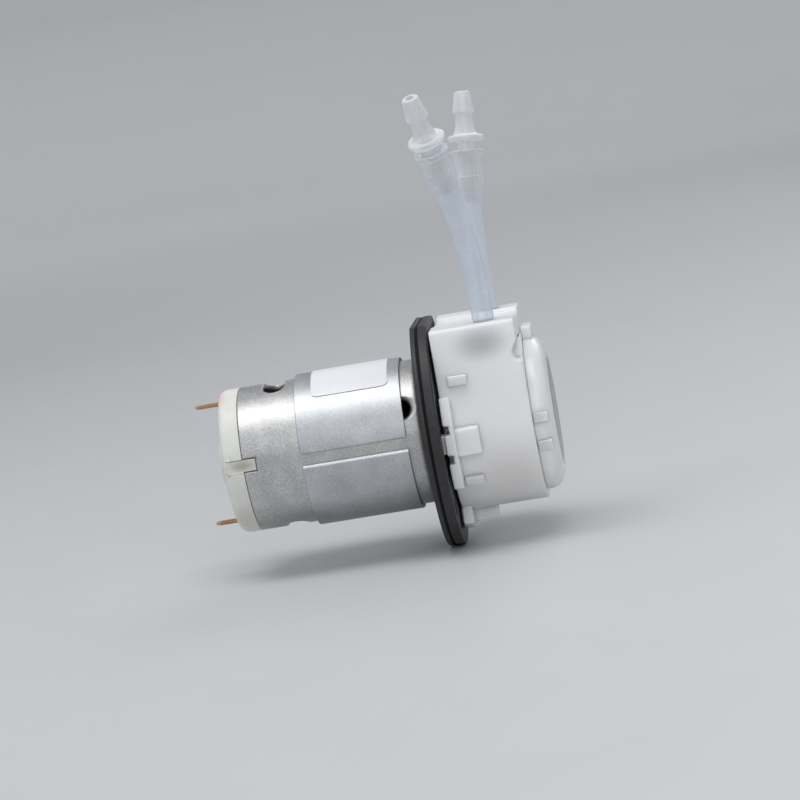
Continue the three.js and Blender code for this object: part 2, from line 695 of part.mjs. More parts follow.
// Turns a piece made along +X so that it points along a direction from a point.
function pointAlong(start, direction) {
  const place = new THREE.Group();
  const unit = new THREE.Vector3(...direction).normalize();
  place.quaternion.setFromUnitVectors(new THREE.Vector3(1, 0, 0), unit);
  place.position.set(...start);
  place.updateMatrixWorld();
  group.add(place);
  return place;
}

function fitting(name, start, direction) {
  const profile = [...innerBarb, ...outerBarb, [21, fittingBore], [0, fittingBore]];
  add(name, turnedRing(profile, smallSides), clearPlastic, pointAlong(start, direction));
}

// A free end of the hose, from the head's top to the lip that is stretched over the fitting.
function freeTube(name, route, start, direction) {
  const unit = new THREE.Vector3(...direction).normalize();
  const points = route.map((point) => new THREE.Vector3(...point));
  points.push(new THREE.Vector3(...start).addScaledVector(unit, -1));
  points.push(new THREE.Vector3(...start).addScaledVector(unit, -0.4));
  const section = new THREE.Shape();
  section.absarc(0, 0, tubeRadius, 0, Math.PI * 2, false);
  const lumen = new THREE.Path();
  lumen.absarc(0, 0, tubeBore, 0, Math.PI * 2, true);
  section.holes.push(lumen);
  const extrudePath = new THREE.CatmullRomCurve3(points);
  const run = new THREE.ExtrudeGeometry(section, { steps: 12, curveSegments: 4, extrudePath });
  const overBarb = (reach) => innerBarb.slice(0, 3).map(([along, radius]) => [along, radius + reach]);
  const wall = 0.72;
  const socket = turnedRing([
    [-1.2, 1.1], [-1.2, 1.95], ...overBarb(fittingGap + wall), [8.6, 2.75], [9, 3.25], [socketEnd, 3.25],
    [socketEnd, 1.75 + fittingGap], [4.7, 1.75 + fittingGap], [4.6, 2.15 + fittingGap],
    [-0.2, 1.25 + fittingGap], [-0.3, 1.1],
  ], smallSides);
  const place = pointAlong(start, direction);
  socket.applyMatrix4(place.matrixWorld);
  group.remove(place);
  add(name, geometryOf(solid(run).add(solid(socket))), silicone);
}

// ---------------------------------------------------------------- assembly

motorParts();
mountingPlate();
motorScrew('motor_screw_near', -1);
motorScrew('motor_screw_far', 1);
pumpHousing();
frontCover();
coverBadge();
driveSleeve();
rollerCage();
rollersAndPins();
pumpTubeLoop();
freeTube('inlet_tube', nearRoute, nearFittingStart, nearFittingDirection);
freeTube('outlet_tube', farRoute, farFittingStart, farFittingDirection);
fitting('inlet_fitting', nearFittingStart, nearFittingDirection);
fitting('outlet_fitting', farFittingStart, farFittingDirection);

export default group;
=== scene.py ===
"""Peristaltic pump: the looks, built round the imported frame. Shapes are given in millimetres."""
import math

import bmesh
import bpy
from mathutils import Matrix, Vector


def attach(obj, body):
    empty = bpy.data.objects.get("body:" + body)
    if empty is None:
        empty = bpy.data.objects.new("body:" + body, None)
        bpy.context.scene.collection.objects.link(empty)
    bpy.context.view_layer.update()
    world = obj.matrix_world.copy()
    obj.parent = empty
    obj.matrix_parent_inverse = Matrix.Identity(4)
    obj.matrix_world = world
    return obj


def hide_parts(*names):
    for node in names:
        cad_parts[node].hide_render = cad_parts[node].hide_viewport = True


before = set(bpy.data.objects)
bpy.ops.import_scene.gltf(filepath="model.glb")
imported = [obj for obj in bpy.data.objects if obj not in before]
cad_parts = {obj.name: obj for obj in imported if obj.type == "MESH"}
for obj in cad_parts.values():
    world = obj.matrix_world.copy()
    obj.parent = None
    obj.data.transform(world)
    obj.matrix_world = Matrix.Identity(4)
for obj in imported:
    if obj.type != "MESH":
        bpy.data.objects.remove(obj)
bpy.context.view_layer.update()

MM = 0.001
FULL_TURN = 2 * math.pi
ROOT, ROTOR, HEAD, CAGE = "motor_and_plate", "rotor", "head", "cage"

# ---------------------------------------------------------------- camera

AZIMUTH, ELEVATION, ROLL = 5.28, 6.714, 10.011     # degrees
TARGET = Vector((-4.862, 0, 6.531)) * MM
DISTANCE = 0.6                                     # metres
FOCAL, SENSOR = 141.13, 36                         # millimetres


def make_camera():
    azimuth, elevation, roll = (math.radians(angle) for angle in (AZIMUTH, ELEVATION, ROLL))
    away = Vector((math.sin(azimuth) * math.cos(elevation), -math.cos(azimuth) * math.cos(elevation),
                   math.sin(elevation)))
    level = Vector((math.cos(azimuth), math.sin(azimuth), 0))
    upward = away.cross(level)
    right = level * math.cos(roll) - upward * math.sin(roll)
    up = level * math.sin(roll) + upward * math.cos(roll)
    camera = bpy.data.objects.new("camera", bpy.data.cameras.new("camera"))
    bpy.context.scene.collection.objects.link(camera)
    turn = Matrix((right, up, away)).transposed().to_4x4()
    camera.matrix_world = Matrix.Translation(TARGET + away * DISTANCE) @ turn
    camera.data.lens = FOCAL
    camera.data.sensor_width = SENSOR
    camera.data.clip_start = 0.01
    camera.data.clip_end = 20
    bpy.context.scene.camera = camera


make_camera()

# ---------------------------------------------------------------- mesh helpers


def mesh_object(name, points, faces, smooth=True):
    """A new object from points in millimetres."""
    mesh = bpy.data.meshes.new(name)
    mesh.from_pydata([Vector(point) * MM for point in points], [], faces)
    mesh.validate()
    obj = bpy.data.objects.new(name, mesh)
    bpy.context.scene.collection.objects.link(obj)
    if smooth:
        mesh.shade_smooth()
    return obj


ON_AXIS = 1e-6             # a smaller radius than this is on the axis
CORNER_SHARE = 0.48        # of a side's length, which a rounding may take at each end


def soften(points, closed=True, radius=0.15, steps=3):
    """Rounds each corner of a profile of (x, r) or (x, r, radius). Points on the axis stay sharp."""
    count = len(points)
    out = []
    for i, point in enumerate(points):
        here = Vector(point[:2])
        size = point[2] if len(point) > 2 else radius
        at_end = not closed and i in (0, count - 1)
        if at_end or size == 0 or here.y < ON_AXIS:
            out.append(tuple(here))
            continue
        before, after = Vector(points[i - 1][:2]), Vector(points[(i + 1) % count][:2])
        size = min(size, (before - here).length * CORNER_SHARE, (after - here).length * CORNER_SHARE)
        start = here + (before - here).normalized() * size
        end = here + (after - here).normalized() * size
        for step in range(steps + 1):
            t = step / steps
            out.append(tuple(start * (1 - t) ** 2 + here * 2 * t * (1 - t) + end * t ** 2))
    return out


def lathe(name, profile, sides=96, closed=True, centre=(0, 0, 0)):
    """Turns a profile of (x, r) about X. An open profile starts and ends on the axis."""
    points, rings = [], []
    for x, r in profile:
        if r < ON_AXIS:
            rings.append([len(points)])
            points.append((x, 0, 0))
            continue
        rings.append(list(range(len(points), len(points) + sides)))
        for side in range(sides):
            turn = FULL_TURN * side / sides
            points.append((x, r * math.cos(turn), r * math.sin(turn)))
    faces = []
    pairs = list(zip(rings, rings[1:])) + ([(rings[-1], rings[0])] if closed else [])
    for one, two in pairs:
        for side in range(sides):
            other = (side + 1) % sides
            if len(one) == 1:
                faces.append((one[0], two[other], two[side]))
            elif len(two) == 1:
                faces.append((one[side], one[other], two[0]))
            else:
                faces.append((one[side], one[other], two[other], two[side]))
    moved = [(x + centre[0], y + centre[1], z + centre[2]) for x, y, z in points]
    obj = mesh_object(name, moved, faces)
    face_outward(obj)
    return obj


def face_outward(obj):
    """Turns all faces if the mesh is inside out."""
    mesh = obj.data
    volume = 0.0
    mesh.calc_loop_triangles()
    for triangle in mesh.loop_triangles:
        a, b, c = (mesh.vertices[i].co for i in triangle.vertices)
        volume += a.dot(b.cross(c))
    if volume < 0:
        mesh.flip_normals()


def prism(name, outline, low, high, axis="X"):
    """Extrudes a closed outline along an axis. The outline gives the two other coordinates, in order."""
    count = len(outline)
    points = []
    for along in (low, high):
        for pair in outline:
            point = list(pair)
            point.insert("XYZ".index(axis), along)
            points.append(point)
    faces = [tuple(range(count)), tuple(range(2 * count - 1, count - 1, -1))]
    for i in range(count):
        j = (i + 1) % count
        faces.append((i, i + count, j + count, j))
    obj = mesh_object(name, points, faces, smooth=False)
    face_outward(obj)
    return obj


def circle(a, b, radius, sides):
    """Points on a circle round (a, b)."""
    turns = [FULL_TURN * side / sides for side in range(sides)]
    return [(a + radius * math.cos(turn), b + radius * math.sin(turn)) for turn in turns]


def block(name, xs, ys, zs, turn=0.0):
    """A box, turned about X by an angle in degrees."""
    outline = []
    angle = math.radians(turn)
    for y, z in ((ys[0], zs[0]), (ys[1], zs[0]), (ys[1], zs[1]), (ys[0], zs[1])):
        outline.append((y * math.cos(angle) - z * math.sin(angle), y * math.sin(angle) + z * math.cos(angle)))
    return prism(name, outline, *xs)


def arc(radius, start, end, steps):
    """Points (y, z) on a circle about X. Angles run from +Y towards +Z, in degrees."""
    turns = [math.radians(start + (end - start) * i / steps) for i in range(steps + 1)]
    return [(radius * math.cos(turn), radius * math.sin(turn)) for turn in turns]


def radial_cutter(name, x, angle, rings, stretch=0.0, sides=48):
    """A body round a radius of the motor, for cutting. Each ring is (distance from the axis, radius).

    Stretch makes it a slot round the motor's axis.
    """
    turn = math.radians(angle)
    out = Vector((0, math.cos(turn), math.sin(turn)))
    along = Vector((0, -math.sin(turn), math.cos(turn)))
    points = []
    for reach, radius in rings:
        for side in range(sides):
            bearing = FULL_TURN * (side + 0.5) / sides
            shift = stretch if math.sin(bearing) > 0 else -stretch
            offset = along * (radius * math.sin(bearing) + shift)
            points.append(Vector((x + radius * math.cos(bearing), 0, 0)) + offset + out * reach)
    last = (len(rings) - 1) * sides
    faces = [tuple(range(sides)), tuple(range(last + sides - 1, last - 1, -1))]
    for ring in range(len(rings) - 1):
        for i in range(sides):
            j = (i + 1) % sides
            low, high = ring * sides, (ring + 1) * sides
            faces.append((low + i, high + i, high + j, low + j))
    obj = mesh_object(name, points, faces, smooth=False)
    face_outward(obj)
    return obj


def settle(obj):
    """Applies the object's modifiers to its mesh."""
    graph = bpy.context.evaluated_depsgraph_get()
    mesh = bpy.data.meshes.new_from_object(obj.evaluated_get(graph))
    old = obj.data
    obj.modifiers.clear()
    obj.data = mesh
    bpy.data.meshes.remove(old)


def combine(obj, others, operation):
    for other in others:
        modifier = obj.modifiers.new("combine", "BOOLEAN")
        modifier.operation = operation
        modifier.solver = "EXACT"
        modifier.object = other
    settle(obj)
    for other in others:
        mesh = other.data
        bpy.data.objects.remove(other)
        bpy.data.meshes.remove(mesh)
    return obj


def join_shells(obj, others):
    """Adds other closed shells to the object's mesh."""
    whole = bmesh.new()
    whole.from_mesh(obj.data)
    for other in others:
        mesh = other.data
        whole.from_mesh(mesh)
        bpy.data.objects.remove(other)
        bpy.data.meshes.remove(mesh)
    whole.to_mesh(obj.data)
    whole.free()


def round_edges(obj, width, segments=3, angle=38):
    """Rounds every sharp edge by a width in millimetres."""
    obj.data.shade_smooth()
    bevel = obj.modifiers.new("bevel", "BEVEL")
    bevel.width = width * MM
    bevel.segments = segments
    bevel.limit_method = "ANGLE"
    bevel.angle_limit = math.radians(angle)
    bevel.use_clamp_overlap = False
    bevel.miter_outer = "MITER_ARC"
    bevel.harden_normals = False
    weigh = obj.modifiers.new("weigh", "WEIGHTED_NORMAL")
    weigh.keep_sharp = True
    weigh.weight = 80


# ---------------------------------------------------------------- materials


def finish(name, dark, light, roughness, metallic=0.0, clouds=250, grain=2500, bump=0.02, mix=0.5, tints_and_painted_shade=(),
           **sockets):
    """A material whose colour and roughness wander between two values, with a fine grain in relief.

    Each tint is a soft patch of another colour: (centre, reach along x, y and z, colour, strength), in mm.
    Some tints are real marks such as solder; others are painted shade and painted reflection.
    """
    material = bpy.data.materials.new(name)
    material.use_nodes = True
    nodes, links = material.node_tree.nodes, material.node_tree.links
    shader = nodes["Principled BSDF"]
    place = nodes.new("ShaderNodeTexCoord")

    def noise(scale, detail):
        node = nodes.new("ShaderNodeTexNoise")
        node.inputs["Scale"].default_value = scale
        node.inputs["Detail"].default_value = detail
        links.new(place.outputs["Object"], node.inputs["Vector"])
        return node

    broad, fine = noise(clouds, 3), noise(grain, 2)
    blend = nodes.new("ShaderNodeMix")
    blend.data_type = "FLOAT"
    blend.inputs[0].default_value = mix
    links.new(broad.outputs["Fac"], blend.inputs[2])
    links.new(fine.outputs["Fac"], blend.inputs[3])
    ramp = nodes.new("ShaderNodeValToRGB")
    ramp.color_ramp.elements[0].position = 0.35
    ramp.color_ramp.elements[1].position = 0.65
    ramp.color_ramp.elements[0].color = (*dark, 1)
    ramp.color_ramp.elements[1].color = (*light, 1)
    links.new(blend.outputs[0], ramp.inputs["Fac"])
    colour = ramp.outputs["Color"]
    # Each tint lays its colour over a soft round patch; on some materials these patches are painted shade and
    # painted reflection
    for centre, reach, tint, strength in tints_and_painted_shade:
        scaled = nodes.new("ShaderNodeVectorMath")
        scaled.operation = "MULTIPLY"
        scaled.inputs[1].default_value = [1 / (size * MM) for size in reach]
        links.new(place.outputs["Object"], scaled.inputs[0])
        away = nodes.new("ShaderNodeVectorMath")
        away.operation = "DISTANCE"
        away.inputs[1].default_value = [middle / size for middle, size in zip(centre, reach)]
        links.new(scaled.outputs["Vector"], away.inputs[0])
        fade = nodes.new("ShaderNodeMapRange")
        fade.interpolation_type = "SMOOTHERSTEP"
        fade.inputs["From Min"].default_value = 1
        fade.inputs["From Max"].default_value = 0
        fade.inputs["To Max"].default_value = strength
        links.new(away.outputs["Value"], fade.inputs["Value"])
        over = nodes.new("ShaderNodeMix")
        over.data_type = "RGBA"
        over.inputs["B"].default_value = (*tint, 1)
        links.new(fade.outputs["Result"], over.inputs["Factor"])
        links.new(colour, over.inputs["A"])
        colour = over.outputs["Result"]
    links.new(colour, shader.inputs["Base Color"])
    spread = nodes.new("ShaderNodeMapRange")
    spread.inputs["From Min"].default_value = 0.3
    spread.inputs["From Max"].default_value = 0.7
    spread.inputs["To Min"].default_value = roughness[0]
    spread.inputs["To Max"].default_value = roughness[1]
    links.new(blend.outputs[0], spread.inputs["Value"])
    links.new(spread.outputs["Result"], shader.inputs["Roughness"])
    if bump:
        relief = nodes.new("ShaderNodeBump")
        relief.inputs["Strength"].default_value = 0.5
        relief.inputs["Distance"].default_value = bump * MM
        links.new(fine.outputs["Fac"], relief.inputs["Height"])
        links.new(relief.outputs["Normal"], shader.inputs["Normal"])
    shader.inputs["Metallic"].default_value = metallic
    for socket, value in sockets.items():
        shader.inputs[socket.replace("_", " ")].default_value = value
    return material


def milky(name, body, cover, roughness, spread=(0.0, 1.0)):
    """A clear, slightly cloudy plastic, which covers most where it is seen along its wall."""
    material = finish(name, *body, roughness, clouds=220, grain=1800, bump=0.0, mix=0.3)
    nodes, links = material.node_tree.nodes, material.node_tree.links
    shader = nodes["Principled BSDF"]
    facing = nodes.new("ShaderNodeLayerWeight")
    facing.inputs["Blend"].default_value = 0.35
    density = nodes.new("ShaderNodeMapRange")
    density.inputs["From Min"].default_value = spread[0]
    density.inputs["From Max"].default_value = spread[1]
    density.inputs["To Min"].default_value = cover[0]
    density.inputs["To Max"].default_value = cover[1]
    links.new(facing.outputs["Facing"], density.inputs["Value"])
    links.new(density.outputs["Result"], shader.inputs["Alpha"])
    return material


IVORY_GLOW = {"Subsurface_Weight": 0.35, "Subsurface_Scale": 0.0015, "Subsurface_Radius": (1.0, 0.95, 0.85)}
WHITE_GLOW = {"Subsurface_Weight": 0.6, "Subsurface_Scale": 0.0025, "Subsurface_Radius": (1.0, 0.97, 0.94)}
SOLDER, SOLDER_REACH = (0.85, 0.74, 0.58), (2.2, 3, 1.5)

ZINC = finish("zinc_steel", (0.42, 0.42, 0.415), (0.66, 0.655, 0.645), (0.40, 0.50), metallic=1.0,
              clouds=300, grain=3600, bump=0.012, mix=0.68)
RING = finish("ring_steel", (0.44, 0.455, 0.47), (0.62, 0.635, 0.65), (0.42, 0.50), metallic=1.0,
              clouds=200, grain=3600, bump=0.01, mix=0.6)
NYLON = finish("ivory_nylon", (0.72, 0.725, 0.68), (0.80, 0.805, 0.765), (0.36, 0.48),
               clouds=150, grain=1500, bump=0.015, mix=0.4,
               tints_and_painted_shade=(((-38.3, -5.0, 12.2), (2.5, 4, 3), (0.95, 0.42, 0.36), 0.4),
                      # painted shade: darker and duller low on the near side of the end bell
                      ((-36.5, -9.5, -10.0), (5, 8, 5.5), (0.50, 0.47, 0.38), 0.5),
                      # painted shade in the groove round the near lug
                      ((-35.0, -13.6, 0.6), (4, 1.5, 1.6), (0.36, 0.34, 0.27), 0.75)),
               **IVORY_GLOW)
LABEL = finish("label_film", (0.80, 0.81, 0.83), (0.86, 0.87, 0.89), (0.3, 0.36),
               clouds=120, grain=1500, bump=0.004, mix=0.3)
BRASS = finish("brass", (0.40, 0.20, 0.06), (0.62, 0.36, 0.13), (0.28, 0.42), metallic=1.0,
               clouds=500, grain=3000, bump=0.01, mix=0.5,
               tints_and_painted_shade=(((-44.2, 0, 11.4), SOLDER_REACH, SOLDER, 0.8),
                      ((-44.2, 0, -11.4), SOLDER_REACH, SOLDER, 0.8)))
COPPER = finish("copper", (0.50, 0.20, 0.09), (0.66, 0.30, 0.15), (0.3, 0.42), metallic=1.0,
                clouds=500, grain=3000, bump=0.02)
CARBON = finish("carbon", (0.015, 0.015, 0.017), (0.035, 0.035, 0.038), (0.5, 0.65),
                clouds=800, grain=4000, bump=0.03)
FERRITE = finish("ferrite", (0.02, 0.02, 0.022), (0.05, 0.05, 0.052), (0.6, 0.75),
                 clouds=500, grain=3000, bump=0.04)
BRONZE = finish("sintered_bronze", (0.22, 0.14, 0.06), (0.34, 0.23, 0.11), (0.45, 0.6), metallic=1.0,
                clouds=900, grain=5000, bump=0.03)
CORE = finish("core_steel", (0.20, 0.20, 0.21), (0.32, 0.33, 0.34), (0.4, 0.55), metallic=1.0,
              clouds=300, grain=3000, bump=0.03)
STEEL = finish("bright_steel", (0.55, 0.56, 0.57), (0.70, 0.71, 0.72), (0.16, 0.26), metallic=1.0,
               clouds=300, grain=3000, bump=0.006)
BLACK = finish("black_plastic", (0.010, 0.010, 0.011), (0.026, 0.026, 0.028), (0.42, 0.58),
               clouds=350, grain=2600, bump=0.05)
WHITE = finish("white_plastic", (0.85, 0.855, 0.86), (0.89, 0.895, 0.90), (0.28, 0.36),
               clouds=110, grain=1600, bump=0.006, mix=0.35,
               # painted shade: a grey spot under the near top edge, where the dark hose channel lies behind
               # the wall
               tints_and_painted_shade=(((13.2, -15.7, 16.4), (7.5, 3, 4.8), (0.42, 0.42, 0.42), 0.7),
                      # painted reflection: warmer and darker low on the near side, as if the floor were
                      # reflected there
                      ((15.5, -14.0, -10.0), (12, 9, 9), (0.72, 0.67, 0.62), 0.55)),
               **WHITE_GLOW)
COVER = finish("cover_plastic", (0.87, 0.875, 0.88), (0.91, 0.915, 0.92), (0.2, 0.28),
               clouds=110, grain=1600, bump=0.005, mix=0.35, **WHITE_GLOW)
BADGE = finish("badge_film", (0.16, 0.165, 0.175), (0.23, 0.235, 0.245), (0.2, 0.27), metallic=0.4,
               clouds=90, grain=1500, bump=0.003, mix=0.3)
CAGE_WHITE = finish("cage_plastic", (0.60, 0.60, 0.60), (0.70, 0.70, 0.70), (0.4, 0.5),
                    clouds=150, grain=1500, bump=0.02)
DARK_ROLLER = finish("roller_plastic", (0.02, 0.02, 0.023), (0.05, 0.05, 0.055), (0.35, 0.45),
                     clouds=300, grain=2500, bump=0.02)
SILICONE = milky("silicone", ((0.74, 0.82, 0.94), (0.82, 0.88, 0.97)), (0.32, 1.0), (0.22, 0.3))
STRETCHED = milky("stretched_silicone", ((0.82, 0.87, 0.94), (0.88, 0.92, 0.97)), (0.16, 1.0), (0.14, 0.2),
                  spread=(0.1, 0.85))
BORE_SKIN = milky("silicone_bore", ((0.90, 0.93, 0.97), (0.94, 0.96, 0.99)), (0.04, 1.0), (0.2, 0.28),
                  spread=(0.2, 0.7))
CLEAR = milky("clear_plastic", ((0.88, 0.90, 0.92), (0.94, 0.95, 0.96)), (0.32, 1.0), (0.1, 0.16),
              spread=(0.08, 0.8))


def dress(obj, material):
    obj.data.materials.clear()
    obj.data.materials.append(material)


def fit(obj, body, slot, material, *nodes):
    """The object takes the place of CAD nodes on a body."""
    dress(obj, material)
    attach(obj, body)
    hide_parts(*nodes)


# ---------------------------------------------------------------- hose ends

TUBE_RADIUS, TUBE_BORE = 2.05, 1.0
NEAR_ROUTE = [(14.1, -10.4, 20), (14.12, -10.4, 22.6), (14.12, -10.65, 25.1), (14.15, -11.15, 27.9),
              (13.94, -12.05, 31.5), (13.41, -13.6, 36.5), (12.62, -15.5, 41.5)]
NEAR_START, NEAR_DIRECTION = (12.05, -16.75, 44.55), (-0.162, -0.401, 0.902)
FAR_ROUTE = [(14.1, 10.4, 20), (14.05, 10.4, 21.4), (13.78, 10.42, 24.4), (13.76, 10.52, 27.8),
             (13.91, 10.9, 33.2), (14.12, 11.3, 38)]
FAR_START, FAR_DIRECTION = (14.34, 11.65, 41.3), (0.08, 0.094, 0.992)
LIP = 9.6                          # from a fitting's end to the hose's lip on it
SMALL_BORE = 0.8
LINE_GAP = 0.7                     # by which the hose's line stops short of the fitting's end
FITTING = [(0, 1.25, 0.15), (4.45, 2.15, 0.12), (4.6, 1.72, 0.1), (11.2, 1.75, 0.25), (11.3, 3.3, 0.3),
           (11.6, 3.55, 0.3), (12.2, 3.55, 0.3), (12.5, 3.3, 0.3), (12.65, 2.35, 0.3), (14.3, 1.75, 0.8),
           (16.7, 1.7, 0.1), (16.8, 2.2, 0.14), (20.8, 1.55, 0.2), (21, 1.3, 0.15), (21, SMALL_BORE, 0.12),
           (0, SMALL_BORE, 0.12)]
SLEEVE = [(0.0, 2.12), (1.5, 2.42), (3.0, 2.72), (4.4, 2.97), (5.2, 2.93), (6.2, 2.76), (7.4, 2.72),
          (8.3, 2.8), (8.75, 3.02), (9.05, 3.2), (9.35, 3.25), (9.55, 3.18), (LIP, 3.02)]
SOCKET = [(LIP, 1.82), (7.0, 1.8), (4.9, 1.8), (4.6, 2.0), (4.4, 2.2), (2.4, 1.8), (0.1, 1.34), (-0.25, 1.1),
          (-0.6, TUBE_BORE)]


def spline(points, per_span=6):
    """A smooth line through the points, in millimetres."""
    guides = [Vector(point) for point in points]
    guides = [guides[0] * 2 - guides[1]] + guides + [guides[-1] * 2 - guides[-2]]
    out = []
    for i in range(1, len(guides) - 2):
        a, b, c, d = guides[i - 1:i + 3]
        for step in range(per_span):
            t = step / per_span
            out.append(0.5 * (2 * b + (c - a) * t + (2 * a - 5 * b + 4 * c - d) * t ** 2
                              + (3 * b - a - 3 * c + d) * t ** 3))
    out.append(guides[-2])
    return out


def swept(name, stations, sides=64):
    """A closed skin over rings of (centre, direction, radius). The last ring joins the first."""
    points, faces = [], []
    side_axis = Vector((1, 0, 0))
    for centre, direction, radius in stations:
        across = (side_axis - direction * side_axis.dot(direction)).normalized()
        over = direction.cross(across)
        for side in range(sides):
            turn = FULL_TURN * side / sides
            points.append(centre + (across * math.cos(turn) + over * math.sin(turn)) * radius)
    count = len(stations)
    for ring in range(count):
        following = (ring + 1) % count
        for side in range(sides):
            other = (side + 1) % sides
            faces.append((ring * sides + side, ring * sides + other, following * sides + other,
                          following * sides + side))
    obj = mesh_object(name, points, faces)
    face_outward(obj)
    return obj


def hose_end(word, route, start, direction):
    """One free end of the hose with its fitting. Gives the length of the hose's centreline in metres."""
    unit = Vector(direction).normalized()
    first = Vector(start)
    line = spline(list(route) + [tuple(first - unit * LINE_GAP)])
    tangents = []
    for i in range(len(line)):
        tangents.append((line[min(i + 1, len(line) - 1)] - line[max(i - 1, 0)]).normalized())
    tangents[0], tangents[-1] = Vector((0, 0, 1)), unit
    outer = [(point, tangent, TUBE_RADIUS) for point, tangent in zip(line, tangents)]
    outer[0] = (line[0], tangents[0], TUBE_RADIUS - 0.1)
    outer += [(first + unit * along, unit, radius) for along, radius in SLEEVE]
    inner = [(first + unit * along, unit, radius) for along, radius in SOCKET]
    inner += [(point, tangent, TUBE_BORE) for point, tangent in reversed(list(zip(line, tangents)))]
    hose = swept(f"{word}_hose", outer + inner)
    fitting = lathe(f"{word}_barbed_fitting", soften(FITTING), sides=64)
    turn = Vector((1, 0, 0)).rotation_difference(unit).to_matrix().to_4x4()
    fitting.data.transform(Matrix.Translation(first * MM) @ turn)
    fit(fitting, HEAD, "clear_plastic", CLEAR, f"{word}_fitting")
    fit(hose, HEAD, "silicone", SILICONE, f"{word}_tube")
    hose.data.materials.append(STRETCHED)
    hose.data.materials.append(BORE_SKIN)
    sides = len(hose.data.vertices) // len(outer + inner)
    for polygon in hose.data.polygons:
        ring = polygon.index // sides
        polygon.material_index = (ring > len(line)) + (ring >= len(outer))
    path = [point * MM for point in line] + [(first + unit * LIP * part / 4) * MM for part in range(5)]
    length = sum((b - a).length for a, b in zip(path, path[1:]))
    return length


hose_lengths = [hose_end("inlet", NEAR_ROUTE, NEAR_START, NEAR_DIRECTION),
                hose_end("outlet", FAR_ROUTE, FAR_START, FAR_DIRECTION)]

# ---------------------------------------------------------------- motor

CAN_RADIUS, CAN_WALL = 13.85, 0.9
CAN_REAR, MOTOR_FACE = -34.9, -0.2
CAN_INNER = CAN_RADIUS - CAN_WALL
TAB_LOW, TAB_HIGH = -0.55, 1.75    # heights of the end bell's lugs
TERMINAL_HEIGHT = 11.4
BELL_REAR, HUB_REAR = -38.95, -40.5
SHAFT_RADIUS = 1.15
VENT_X, VENT_RADIUS, VENT_STRETCH = -28, 2.1, 3.6
FRONT_VENT_X = -4.1
DIMPLE_ORBIT, DIMPLE_RADIUS = 9, 1.1
SCREW_OFFSET = 8                   # of the two screws from the shaft, along Y
HOLE_RADIUS = 1.6                  # of the screw holes in the motor and the plate


def motor_can():
    stations = [CAN_REAR + 1.5 + 1.45 * step for step in range(21)]
    outer = [(x, CAN_RADIUS, 0) for x in stations]
    inner = [(x, CAN_INNER, 0) for x in reversed(stations)]
    shell = lathe("can_shell", soften([
        (CAN_REAR, CAN_RADIUS, 0.15), *outer, (MOTOR_FACE, CAN_RADIUS, 1.3), (MOTOR_FACE, 5, 0.4),
        (1.6, 5, 0.3), (1.6, 1.7, 0.15), (0.7, 1.7, 0.05), (0.7, 3.2, 0.05), (-1.2, 3.2, 0.05),
        (-1.2, CAN_INNER, 0.8), *inner, (CAN_REAR, CAN_INNER, 0.1),
    ], steps=5), sides=144)
    cutters = []
    for angle in (90, 270):
        rings = [(CAN_INNER - 4, VENT_RADIUS), (CAN_RADIUS + 3, VENT_RADIUS)]
        cutters.append(radial_cutter("vent", VENT_X, angle, rings, stretch=VENT_STRETCH))
    for angle in (152.5, 332.5):
        rings = [(CAN_INNER - 3, 1.93), (CAN_RADIUS - 0.75, 1.93), (CAN_RADIUS - 0.5, 2.1),
                 (CAN_RADIUS - 0.2, 2.6), (CAN_RADIUS - 0.05, 3.15), (CAN_RADIUS + 1, 3.4)]
        cutters.append(radial_cutter("front_vent", FRONT_VENT_X, angle, rings))
    for side in (-1, 1):
        profile = [(-3, 0), (-3, HOLE_RADIUS), (1, HOLE_RADIUS), (1, 0)]
        hole = lathe("screw_hole", profile, 40, False, (0, side * SCREW_OFFSET, 0))
        ys = sorted((side * (CAN_INNER - 1), side * (CAN_RADIUS + 1)))
        cutters += [hole, block("notch", (CAN_REAR - 1, CAN_REAR + 2.5), ys, (TAB_LOW - 0.2, TAB_HIGH + 0.2))]
    combine(shell, cutters, "DIFFERENCE")
    round_edges(shell, 0.14, 2)
    fit(shell, ROOT, "zinc_steel", ZINC, "motor_can")


